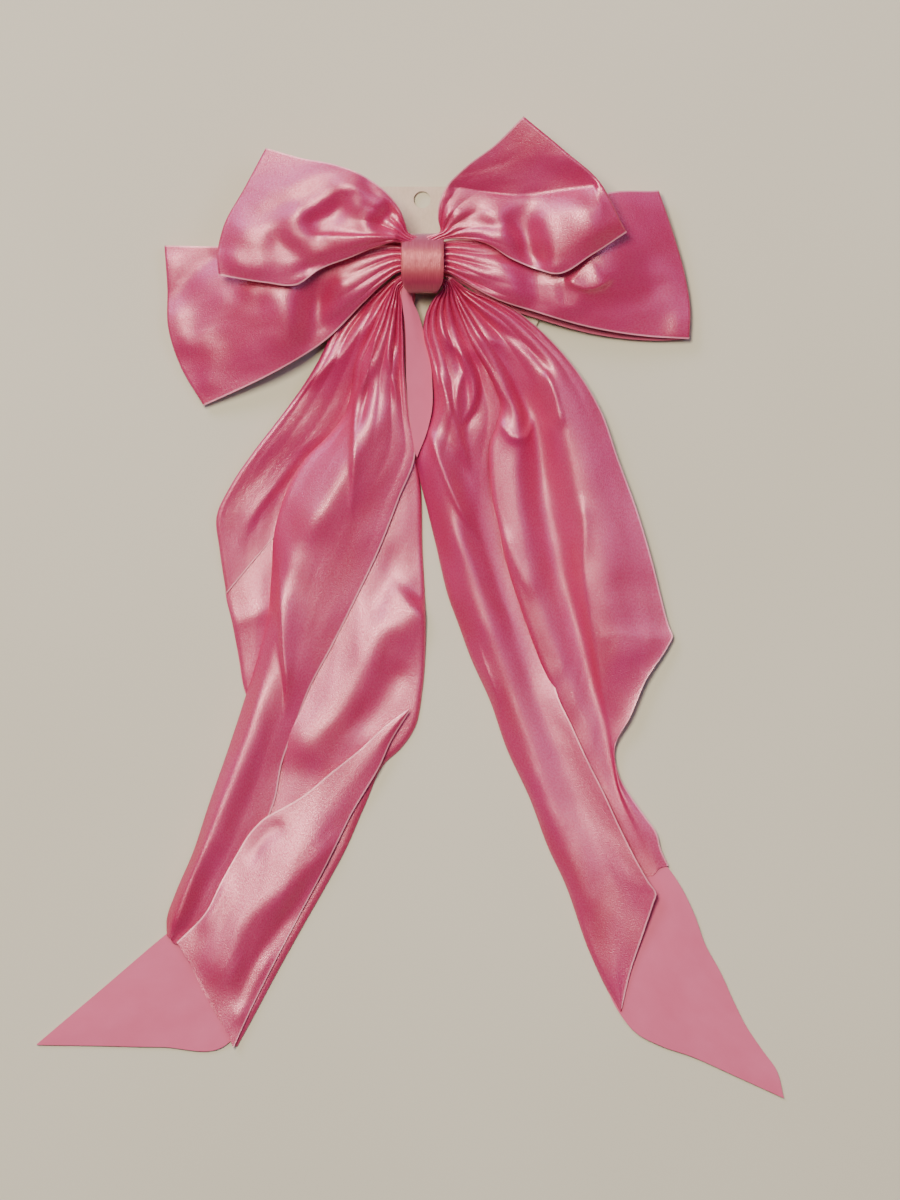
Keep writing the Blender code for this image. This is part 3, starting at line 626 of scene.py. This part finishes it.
RIGHT_OF_LEFT = dict(
    grid=(230, 44), cut=(False, False, False, False), pleats=(2.0, 0.6, 22.0), matte=False,
    rails=[
        [(-3, -6, 10), (-6, -12, 8.5), (-9, -30, 5), (-14, -55, 2.6), (-22, -85, 1.8), (-33, -115, 1.3),
         (-44, -145, 1.1), (-54, -175, 1.0), (-62, -200, 1.0), (-74, -222, 1.0), (-86, -236, 1.2)],
        [(-3, -8, 10.5), (-4.5, -14, 9.2), (-5.5, -30, 6), (-7, -55, 4.2), (-10, -85, 2.8),
         (-17, -115, 2.6), (-26, -145, 2.5), (-36, -172, 2.3), (-46, -195, 2.0), (-58, -220, 1.8),
         (-70, -243, 1.8), (-77, -257, 1.6)],
        [(-2, -8, 10), (-3, -16, 8), (-1.5, -30, 5), (-2.5, -50, 3.2), (-2, -66, 2.6), (-0.5, -80, 2),
         (0, -100, 1.6), (1, -120, 1.5), (1, -137, 1.5), (0, -150, 1.5), (-3, -164, 1.4),
         (-8, -171, 1.3), (-13, -175.5, 1.2), (-20, -190, 1.1), (-27, -206, 1.1), (-34, -219, 1.1),
         (-42, -233, 1.1), (-52, -251, 1.1), (-60, -266, 1.1), (-65.5, -276, 1.1)]],
    strokes=[
        (3.6, 8.0, 9.5, [(1, -119), (-8, -127), (-14, -130), (-18, -137), (-22, -146), (-26, -152),
         (-31, -159), (-38, -166), (-44, -173), (-48, -181)], (0.05, 0.2)),
        (-1.4, 5.0, 5.0, [(-4, -140), (-12, -148), (-18, -158), (-28, -168)], (0.2, 0.3)),
        (-1.0, 3.0, 3.0, [(-8, -95), (-12, -110), (-20, -128)], (0.3, 0.3)),
        (0.8, 2.0, 2.0, [(-2, -108), (-6, -114), (-12, -121)], (0.3, 0.3))])
LEFT_LOWER_FRONT = dict(
    grid=(130, 44), cut=BOTH_SIDES_CUT, pleats=None, matte=False,
    rails=[
        [(-4.5, -156.5, 4.4), (-11, -161, 4.8), (-22, -171, 5.0), (-32, -179, 5), (-43, -188, 4.6),
         (-50, -192, 4.2), (-56, -195.5, 3.7), (-60, -199.5, 3.5), (-66, -209, 3.5), (-71, -218, 3.5),
         (-76, -228, 3.5), (-86.5, -239, 3.4)],
        [(-4.8, -157, 4.6), (-12, -165, 5.0), (-22, -177, 4.8), (-31, -189, 4.6), (-38, -200, 5.2),
         (-45, -210, 5.6), (-53, -222, 5.6), (-62, -234, 5.2), (-69, -245, 4.6), (-76, -256, 3.5)],
        [(-4.5, -157.5, 4.2), (-11, -168, 3.8), (-15, -177, 3.4), (-20, -185.5, 3.2), (-24.5, -193, 3),
         (-29, -202, 2.8), (-35, -214, 2.6), (-43, -229, 2.5), (-53, -248, 2.4), (-61, -264, 2.3),
         (-66.5, -276.2, 2.2)]],
    strokes=[
        (1.8, 4.0, 9.0, [(-26, -198), (-35, -208), (-41, -213.5), (-50, -222), (-58, -227.5),
         (-65, -237), (-69, -247), (-74, -258)], (0.2, 0.15)),
        (-1.0, 3.0, 3.0, [(-42, -224), (-52, -236), (-60, -250), (-65, -264)], (0.2, 0.1)),
        (-1.0, 2.5, 2.5, [(-48, -196), (-56, -203), (-62, -213)], (0.2, 0.3)),
        (1.0, 2.0, 2.0, [(-52, -240), (-60, -254), (-66, -268)], (0.3, 0.1)),
        (0.9, 2.5, 2.5, [(-66, -214), (-72, -226), (-80, -238)], (0.3, 0.3))])
LEFT_END_FLAP = dict(
    grid=(60, 40), cut=BOTH_SIDES_CUT, pleats=None, matte=True,
    rails=[
        [(-136, -275, 0.6), (-113, -255.5, 0.7), (-90.5, -236.3, 0.9), (-84, -231, 0.9)],
        [(-136, -275.1, 0.6), (-106, -265.5, 1.2), (-80, -256, 1.0), (-70, -252, 0.9)],
        [(-136, -275.3, 0.6), (-118, -275.5, 0.6), (-92, -276, 0.7), (-70, -275.8, 0.7),
         (-66.5, -273, 0.7)]],
    strokes=[])
REVERSE_STRIP = dict(
    grid=(80, 16), cut=BOTH_SIDES_CUT, pleats=None, matte=True,
    rails=[
        [(-4.5, -7, 12.5), (-7, -9, 12.8), (-6.8, -15, 12), (-6, -21, 11), (-5.6, -30, 10),
         (-5.5, -40, 9), (-4.8, -50, 8), (-3.8, -58, 7.2), (-2.6, -66, 6.8)],
        [(-4, -7, 12.6), (-5, -11, 12.2), (-3.8, -17, 11.2), (-3, -22, 10.2), (-2, -29, 9),
         (-1.2, -38, 8), (-0.8, -47, 7.4), (-1.2, -57, 6.8), (-2.2, -67, 6.5)],
        [(-3.5, -7, 12), (-3.6, -12, 11), (-1.2, -18, 9.5), (0, -22, 8.5), (1.5, -28, 7.5),
         (3, -35, 6.8), (3.6, -43, 6.4), (3.6, -50, 6.2), (2, -58, 6), (-1.8, -68, 6.2)]],
    strokes=[])
RIGHT_OUTER = dict(
    grid=(230, 70), cut=(False, True, False, False), pleats=(6.0, 1.2, 32.0), matte=False,
    rails=[
        [(3, -4, 12.5), (8.8, -5, 13), (10.5, -9, 12.5), (13, -17, 11.2), (17.5, -28.5, 9.8),
         (22, -36, 8.6), (26, -44, 7.4), (28, -50, 6.4), (26.5, -56, 6.2), (24, -64, 6.0),
         (24, -74, 5.6), (25, -83, 5.2), (27.3, -93, 5.2), (29, -102, 5), (31.5, -111, 4.8),
         (34.5, -120, 4.6), (38, -130, 4.2), (42, -140.5, 3.7), (46, -150, 3), (50, -160, 2),
         (55, -172, 1.5), (62, -188, 1.3), (69, -203, 1.2), (76, -216, 1.2)],
        [(3, -3.8, 12.8), (9, -5, 13.4), (11.3, -9, 13), (15, -17, 12.2), (20, -27, 11.2),
         (24.5, -37, 10.2), (29, -46, 9.4), (33.5, -54, 8.4), (34.5, -62, 7.4), (33, -75, 7),
         (34, -88, 6.6), (36, -100, 6.2), (40, -118, 5.4), (46, -135, 4.4), (53, -152, 3.2),
         (59, -168, 2.2), (65, -184, 1.8), (72, -200, 1.7), (78.5, -216, 1.4)],
        [(3, -3.5, 12.8), (9.2, -5, 13.2), (12, -8.6, 12.8), (18, -16, 11.2), (25, -25, 9.4),
         (31, -35, 6.8), (35, -46, 4.6), (39, -57, 3.2), (42, -70, 2.2), (44, -85, 1.8), (47, -100, 1.6),
         (53, -120, 1.5), (59, -140, 1.5), (63.5, -158, 1.5), (66, -171, 1.6), (69, -185, 1.7),
         (75, -200, 1.8), (82, -215, 1.5)],
        [(3, -3, 13.2), (9.6, -5, 13.8), (14, -9.3, 13), (21, -15.5, 12.2), (30, -22.5, 11),
         (38, -30, 10.6), (44, -38, 10.4), (48, -47, 10.4), (51, -59, 10.2), (54, -72, 9.8),
         (57, -88, 9.2), (57.8, -104, 8.6), (59.2, -120, 7.6), (61.3, -136, 5.9), (64, -150, 4.0),
         (66.5, -162, 2.8), (67.4, -172, 2.6), (69.6, -184, 2.8), (76, -197, 2.6), (83.5, -213, 1.6)],
        [(3, -2.5, 13), (10, -4.8, 13.4), (16.5, -9.3, 12.6), (24.7, -12.3, 11.8), (32.5, -16.2, 10.8),
         (39, -21, 9.4), (46, -27.5, 7.8), (51, -33, 6.8), (57, -41, 6), (63, -51.5, 5.2),
         (69.2, -68.8, 4.6), (75.2, -85, 4.2), (81.5, -106, 3.8), (84.5, -118, 3.2), (87.5, -128.6, 2.8),
         (88.5, -131, 2.9), (87.3, -133.6, 3.1), (79, -146.5, 4.4), (73.4, -159.5, 4.6),
         (67.8, -170.5, 3.2), (69.8, -181, 2.0), (74, -188, 2.1), (79, -195, 2.1), (82.8, -200.5, 2.0),
         (84.2, -206, 1.8), (87, -212, 1.4)]],
    strokes=[
        (-2.0, 1.6, 2.0, [(11, -6), (15, -12), (20, -18), (29, -24), (38, -30), (44, -37), (47, -43)],
         (0.05, 0.2)),
        (1.3, -1.5, 2.4, [(39, -50), (38.5, -57), (36, -61.5), (31.5, -61), (28, -57), (25, -55.5)],
         (0.5, 0.2)),
        (1.0, 1.6, 2.0, [(18, -25), (22, -26.5), (28, -27.5)], (0.2, 0.3)),
        (1.4, -1.4, 2.4, [(43, -36), (46, -43), (48, -50), (50, -60)], (0.2, 0.3)),
        (1.0, -2.2, 2.4, [(56, -80), (57.5, -92), (57, -106), (58.5, -120), (60.5, -133), (63.5, -148),
         (66, -162)], (0.1, 0.2)),
        (0.8, 2.6, 1.4, [(28, -92), (32, -103), (37, -113), (41, -120)], (0.2, 0.3)),
        (-0.7, 6.0, 6.0, [(70, -105), (74, -122), (74, -138)], (0.3, 0.3))])
RIGHT_FRONT = dict(
    grid=(250, 64), cut=(False, True, False, False), pleats=(6.0, 1.3, 32.0), matte=False,
    rails=[
        [(3, -6, 12.5), (7.5, -8, 13), (4, -12.5, 12), (1.6, -17, 10.8), (0.5, -24, 9.4), (2.5, -33, 8),
         (4, -42, 7), (4, -50, 6), (1.8, -59, 5), (-1.8, -68, 4.5), (-1, -74, 3.8), (1.6, -85, 2.6),
         (5, -99, 2), (9.5, -117.5, 1.8), (13, -127, 1.7), (17, -138, 1.6), (24.4, -154.6, 1.6),
         (29.7, -170, 1.6), (38, -188, 1.5), (45, -206.5, 1.5), (50, -217, 1.5), (59, -242, 1.5),
         (66, -257, 1.5), (70, -264, 1.5)],
        [(3, -6, 13.2), (8.4, -8, 13.8), (6.5, -14, 12.5), (5.5, -22, 11.2), (7, -34, 10), (8, -46, 9),
         (5, -58, 8.4), (5, -70, 8.4), (9, -82, 8.6), (12.5, -95, 8.4), (16.5, -106, 7.9),
         (20.5, -118, 7.4), (25, -132, 6.7), (30, -148, 5.9), (35, -162, 5.2), (40, -178, 4.6),
         (45, -193, 4.2), (52, -210, 4.2), (59, -226, 3.8), (66, -241, 3.2), (69, -253, 2.8),
         (70.3, -263, 2)],
        [(3, -5.5, 13), (9, -7, 13.4), (9.5, -13, 12), (10.5, -20, 10.5), (13, -32, 8.5), (16, -45, 7),
         (17, -58, 5.4), (17, -70, 4.4), (18.5, -84, 3.6), (22, -98, 3), (27, -112, 2.6),
         (32, -126, 2.6), (37, -140, 2.9), (42.5, -156, 3.1), (49, -171, 3.3), (55.5, -186, 3.6),
         (61.5, -200, 4.0), (67, -215, 4.6), (70, -230, 4.2), (70.5, -245, 3.2), (70.3, -262.5, 2)],
        [(3, -5, 12), (9.5, -6, 12.6), (12.5, -12, 11), (17, -20, 9.2), (23, -30, 7.2), (28.5, -40, 5.6),
         (32, -49, 4.2), (32, -58, 2.8), (30, -66, 1.9), (29, -76, 1.5), (29.5, -86, 1.3),
         (31, -97, 1.3), (34, -109, 1.3), (38, -121, 1.4), (42, -133, 1.7), (45.3, -143, 2.4),
         (48, -152.5, 3.4), (53, -163, 4.4), (58, -174, 5), (64, -186, 5.6), (69.5, -198, 6.2),
         (75, -209, 6.6), (80, -217.8, 6.6), (82.6, -221.8, 6.4), (81.6, -225, 6), (77.6, -237, 4.6),
         (73.6, -249, 3.2), (70.5, -262, 2)]],
    strokes=[
        (1.9, 2.6, -1.6, [(6, -18), (8, -26), (13.5, -32), (17, -39), (18, -46), (16, -53), (12, -58)],
         (0.2, 0.3)),
        (-1.2, 2.4, -1.4, [(16, -30), (20, -38), (20.5, -46), (17, -54), (13, -60)], (0.2, 0.3)),
        (1.8, -1.6, 3.0, [(5, -34), (8, -44), (11, -54), (14.5, -65), (18, -76)], (0.2, 0.3)),
        (1.2, 1.6, -1.2, [(11, -24), (14.5, -36), (12, -46), (13.5, -56)], (0.3, 0.3)),
        (2.1, 3.2, -1.4, [(1, -54), (4, -64), (8, -75), (13, -86), (22, -101)], (0.2, 0.35)),
        (1.1, -1.8, 2.4, [(19, -131), (22, -140), (25, -148), (29, -160)], (0.5, 0.5))])
RIGHT_END_FLAP = dict(
    grid=(130, 44), cut=BOTH_SIDES_CUT, pleats=None, matte=True,
    rails=[
        [(44, -160, 0.7), (55, -185, 0.7), (60, -215, 0.7), (62, -243, 0.8), (69, -263, 1),
         (75.5, -271, 1), (84, -275.5, 0.9), (95, -279.3, 0.8), (110, -286, 0.7), (127.5, -294, 0.6)],
        [(52, -163, 0.7), (58, -183, 0.8), (66, -205, 1.0), (77, -228, 1.8), (88, -250, 2.4),
         (98, -264, 2.0), (108, -274, 1.6), (118, -284, 1.0), (127.6, -294, 0.6)],
        [(58, -166, 0.7), (63, -181, 0.8), (70, -195, 0.8), (77, -203, 0.8), (85, -210.5, 0.9),
         (90.5, -218, 0.9), (96, -229, 0.9), (100, -240, 0.9), (105, -249, 0.9), (110, -260, 0.8),
         (114, -268, 0.8), (120, -277, 0.7), (125, -284, 0.6), (127.7, -294, 0.6)]],
    strokes=[
        (0.7, 6.0, 6.0, [(84, -214), (90, -235), (98, -255)], (0.3, 0.3))])
TAIL_SHEETS = (LEFT_OUTER, LEFT_LOWER_REAR, LEFT_FRONT, RIGHT_OF_LEFT, LEFT_LOWER_FRONT,
               LEFT_END_FLAP, REVERSE_STRIP, RIGHT_OUTER, RIGHT_FRONT, RIGHT_END_FLAP)


def build_tails():
    cloth = Cloth()
    for spec in TAIL_SHEETS:
        grid = loft(spec["rails"], *spec["grid"])
        if spec["pleats"]:
            gather(grid, *spec["pleats"])
        press(grid, spec["strokes"], TAIL_BLUR)
        for side, cut in ((0, spec["cut"][0]), (-1, spec["cut"][1])):
            if not cut:
                round_edge(grid, side)
        grid[..., 2] = np.maximum(grid[..., 2], TAIL_FLOOR)
        cloth.add_facing_up(grid, spec["matte"], spec["cut"])
    piece = cloth.mesh("tail_ribbon_satin", SATIN, REVERSE)
    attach(piece, "bow")
    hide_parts("tail_ribbon")


# ---------------------------------------------------------------- knot

BAND_GRID = (160, 44)                  # points round the band and across it
BAND_INSET = 0.35                      # how far its middle surface is inside the CAD's box
BAND_SQUARENESS = 2.6                  # 2 is an ellipse, more is squarer
BAND_NARROWING = 0.34


def band_material():
    """Paler where the band turns up to the light, deep rose where it dips under."""
    mat, tree, shader = new_material("band_satin_rib")
    coords = cloth_coords(tree)
    streak = noise(tree, coords, (1.0, 0.06, 1.0), 420.0, 4.0)
    patch = noise(tree, coords, (1.0, 0.35, 1.0), 90.0, 3.0)
    around = node(tree, "ShaderNodeSeparateXYZ")
    tree.links.new(coords, around.inputs["Vector"])
    pale = (0.55, 0.10, 0.11)
    round_colour = ramp(tree, around.outputs["Y"], (
        (0.06, (0.46, 0.10, 0.22)), (0.125, pale), (0.185, pale), (0.235, (0.42, 0.03, 0.09))))
    ribs = colour_between(tree, streak, (0.66, 0.52, 0.56), (1.0, 1.0, 1.0))
    tree.links.new(multiply(tree, 0.8, round_colour, ribs), shader.inputs["Base Color"])
    set_inputs(shader, Metallic=0.2, Roughness=0.36, Specular_IOR_Level=0.55, Sheen_Weight=0.3,
               Sheen_Tint=(1.0, 0.85, 0.8, 1.0))
    fine = bump(tree, streak, 0.5, 0.0003)
    tree.links.new(bump(tree, patch, 0.25, 0.0004, fine), shader.inputs["Normal"])
    return mat


def build_band():
    """The ribbon wrapped round the knot: a flattened ring, narrower where it dips under."""
    half_y = (band_high.y - band_low.y) / 2 / MM
    low, high = band_low.z / MM, band_high.z / MM
    half_x = (band_high.x - band_low.x) / 2 / MM
    middle, half_z = (low + high) / 2, (high - low) / 2
    angle = np.linspace(0.0, 2 * np.pi, BAND_GRID[0])[:, None]
    share = np.linspace(-1.0, 1.0, BAND_GRID[1])[None, :]
    cosine, sine = np.cos(angle), np.sin(angle)
    y = np.sign(cosine) * np.abs(cosine) ** (2 / BAND_SQUARENESS) * (half_y - BAND_INSET)
    z = np.sign(sine) * np.abs(sine) ** (2 / BAND_SQUARENESS) * (half_z - BAND_INSET)
    narrow = 1 - BAND_NARROWING * np.clip(-y / half_y, 0, 1) ** 4
    lean = 0.2 + 0.02 * (y / half_y)
    x = share * (half_x - 0.25) * narrow + lean
    rolled_edge = 1 - np.clip((np.abs(share) - 0.86) / 0.14, 0, 1) ** 2 * 0.035
    ribs = 0.0012 * np.sin(share * 46) + 0.00192 * np.sin(share * 17 + 2.0 * np.sin(angle))
    y = y * (rolled_edge + ribs)
    z = middle + z * (rolled_edge + ribs)
    grid = np.stack([x, y, z], axis=-1)
    normal = surface_normal(grid)
    from_centre = np.stack([np.zeros_like(y), y, z - middle], axis=-1)
    sign = 1.0 if (normal * from_centre).sum() > 0 else -1.0
    cloth = Cloth()
    cloth.add(grid, normal * sign, sign, False, BOTH_SIDES_CUT, BAND_CLOTH)
    piece = cloth.mesh("wrap_band_satin", band_material(), REVERSE)
    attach(piece, "bow")
    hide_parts("wrap_band")


# ---------------------------------------------------------------- card, metal and thread

def steel_material():
    mat, tree, shader = new_material("plated_steel_brushed")
    coords = object_coords(tree)
    brushed = noise(tree, coords, (0.15, 3.0, 3.0), 900.0, 4.0)
    smudge = noise(tree, coords, (1.0, 1.0, 1.0), 120.0, 4.0)
    body = colour_between(tree, smudge, (0.60, 0.60, 0.61), (0.74, 0.74, 0.75))
    tree.links.new(body, shader.inputs["Base Color"])
    set_inputs(shader, Metallic=1.0)
    tree.links.new(map_range(tree, smudge, To_Min=0.20, To_Max=0.38), shader.inputs["Roughness"])
    tree.links.new(bump(tree, brushed, 0.12, 0.00005), shader.inputs["Normal"])
    return mat


def card_material():
    mat, tree, shader = new_material("card_board_cream")
    coords = object_coords(tree)
    fibre = noise(tree, coords, (1.0, 0.4, 1.0), 1400.0, 4.0)
    mottle = noise(tree, coords, (1.0, 1.0, 1.0), 160.0, 4.0)
    body = colour_between(tree, mottle, (0.70, 0.60, 0.42), (0.76, 0.66, 0.48))
    fleck = colour_between(tree, fibre, (0.90, 0.88, 0.84), (1.0, 1.0, 1.0), 0.35, 0.6)
    tree.links.new(multiply(tree, 0.6, body, fleck), shader.inputs["Base Color"])
    set_inputs(shader, Roughness=0.62, Specular_IOR_Level=0.35)
    tree.links.new(bump(tree, fibre, 0.2, 0.00006), shader.inputs["Normal"])
    return mat


def thread_material():
    mat, tree, shader = new_material("pink_thread_twist")
    twist = noise(tree, object_coords(tree), (6.0, 1.0, 1.0), 700.0, 3.0)
    body = colour_between(tree, twist, (0.45, 0.07, 0.15), (0.66, 0.16, 0.27))
    tree.links.new(body, shader.inputs["Base Color"])
    set_inputs(shader, Roughness=0.55, Sheen_Weight=0.4)
    tree.links.new(bump(tree, twist, 0.5, 0.0001), shader.inputs["Normal"])
    return mat


def dress_cad_nodes():
    steel = steel_material()
    dress = dict.fromkeys(("base_plate", "hinge_pin", "clasp_arm", "catch", "catch_rivet",
                           "tension_leaf"), steel)
    dress["display_card"] = card_material()
    dress["gathering_thread"] = thread_material()
    for name, mat in dress.items():
        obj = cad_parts[name]
        obj.data.materials.clear()
        obj.data.materials.append(mat)


# ---------------------------------------------------------------- stage, in metres

FLOOR_HALF, FLOOR_DROP = 2.2, 0.0002
CAMERA_AIM, CAMERA_HEIGHT, FRAME_HEIGHT = (0.0136, 0.0035, 0.0), 3.2, 0.4236
LIGHTS = {                             # watts, size, place, colour; all aim at the origin
    "window": (58.0, (0.62, 0.62), (-0.42, 0.62, 2.1), (1.0, 0.87, 0.74)),
    "high_wall": (36.0, (1.3, 1.0), (-1.4, 1.8, 1.5), (0.68, 0.58, 1.0)),
    "cool_side": (6.0, (0.8, 0.8), (0.9, 0.5, 1.7), (0.68, 0.55, 1.0)),
}
SKY = ((0.03, (0.62, 0.59, 0.52)), (0.14, (0.30, 0.28, 0.27)), (0.38, (0.055, 0.050, 0.068)))


def add_object(name, data):
    obj = bpy.data.objects.new(name, data)
    bpy.context.scene.collection.objects.link(obj)
    return obj


def build_stage():
    half = FLOOR_HALF
    data = bpy.data.meshes.new("floor")
    data.from_pydata([(-half, -half, 0), (half, -half, 0), (half, half, 0), (-half, half, 0)], [],
                     [(0, 1, 2, 3)])
    floor = add_object("floor", data)
    floor.location.z = -FLOOR_DROP
    mat, tree, shader = new_material("pale_cloth_floor")
    soft = noise(tree, object_coords(tree), (1.0, 1.0, 1.0), 5.0, 2.0)
    body = colour_between(tree, soft, (0.67, 0.67, 0.48), (0.71, 0.715, 0.52))
    tree.links.new(body, shader.inputs["Base Color"])
    set_inputs(shader, Roughness=0.85)
    data.materials.append(mat)


def build_light():
    """A sky that is pale at the horizon and dark above, and three soft area lights."""
    world = bpy.data.worlds.new("studio")
    bpy.context.scene.world = world
    world.use_nodes = True
    tree = world.node_tree
    height = node(tree, "ShaderNodeSeparateXYZ")
    tree.links.new(node(tree, "ShaderNodeTexCoord").outputs["Generated"], height.inputs["Vector"])
    background = tree.nodes["Background"]
    tree.links.new(ramp(tree, height.outputs["Z"], SKY), background.inputs["Color"])
    set_inputs(background, Strength=1.0)
    for name, (energy, size, place, colour) in LIGHTS.items():
        data = bpy.data.lights.new(name, "AREA")
        data.energy = energy
        data.shape = "RECTANGLE"
        data.size, data.size_y = size
        data.color = colour
        lamp = add_object(name, data)
        lamp.location = place
        lamp.rotation_euler = (-Vector(place)).to_track_quat("-Z", "Y").to_euler()


def build_camera():
    """Straight above the object, with the photograph's framing."""
    data = bpy.data.cameras.new("camera")
    data.sensor_fit = "VERTICAL"
    data.sensor_height = 24.0
    data.lens = data.sensor_height * CAMERA_HEIGHT / FRAME_HEIGHT
    camera = add_object("camera", data)
    camera.location = Vector(CAMERA_AIM) + Vector((0, 0, CAMERA_HEIGHT))
    bpy.context.scene.camera = camera


build_camera()
build_light()
build_stage()
build_loops()
build_tails()
build_band()
dress_cad_nodes()
